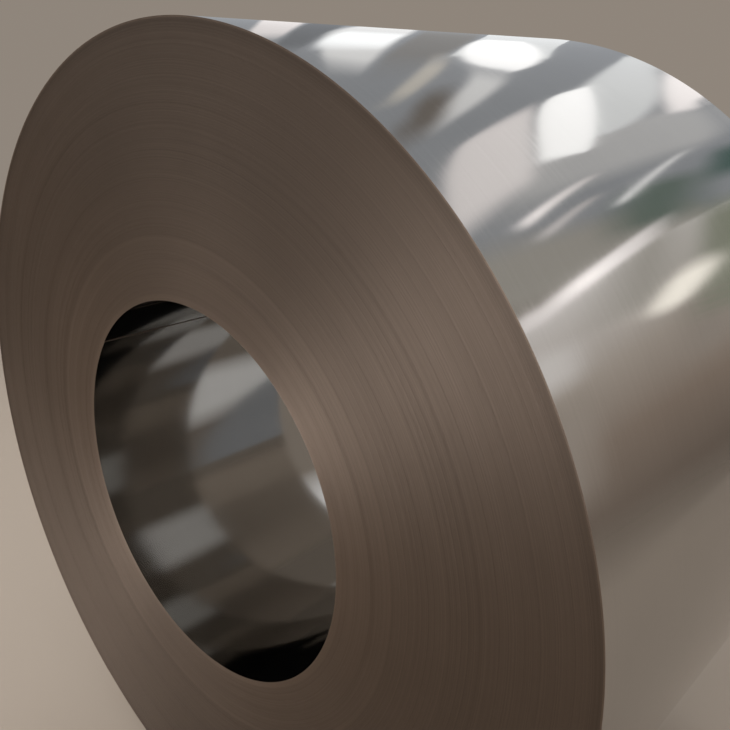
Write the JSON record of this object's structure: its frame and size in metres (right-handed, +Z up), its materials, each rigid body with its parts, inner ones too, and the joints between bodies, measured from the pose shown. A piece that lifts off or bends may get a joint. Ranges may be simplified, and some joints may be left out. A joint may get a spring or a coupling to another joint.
{
  "type": "steel coil",
  "caption": "Coil of bright steel strip wound turn on turn round an open bore, lying on its side, raw stock for slitting, blanking and stamping lines.",
  "frame": {"origin": "middle of the bore, half way along the strip's width", "axes": "+Y along the bore, away from the front end that the picture shows; +Z up; +X to the right seen from the front"},
  "size_m": [1.3593, 0.8521, 1.3585],
  "materials": {
    "bright_strip": "bright rolled strip with a satin sheen; slit edges at the ends are duller and browner"
  },
  "bodies": {
    "root": {"steel_coil": "bright_strip"}
  },
  "joints": []
}
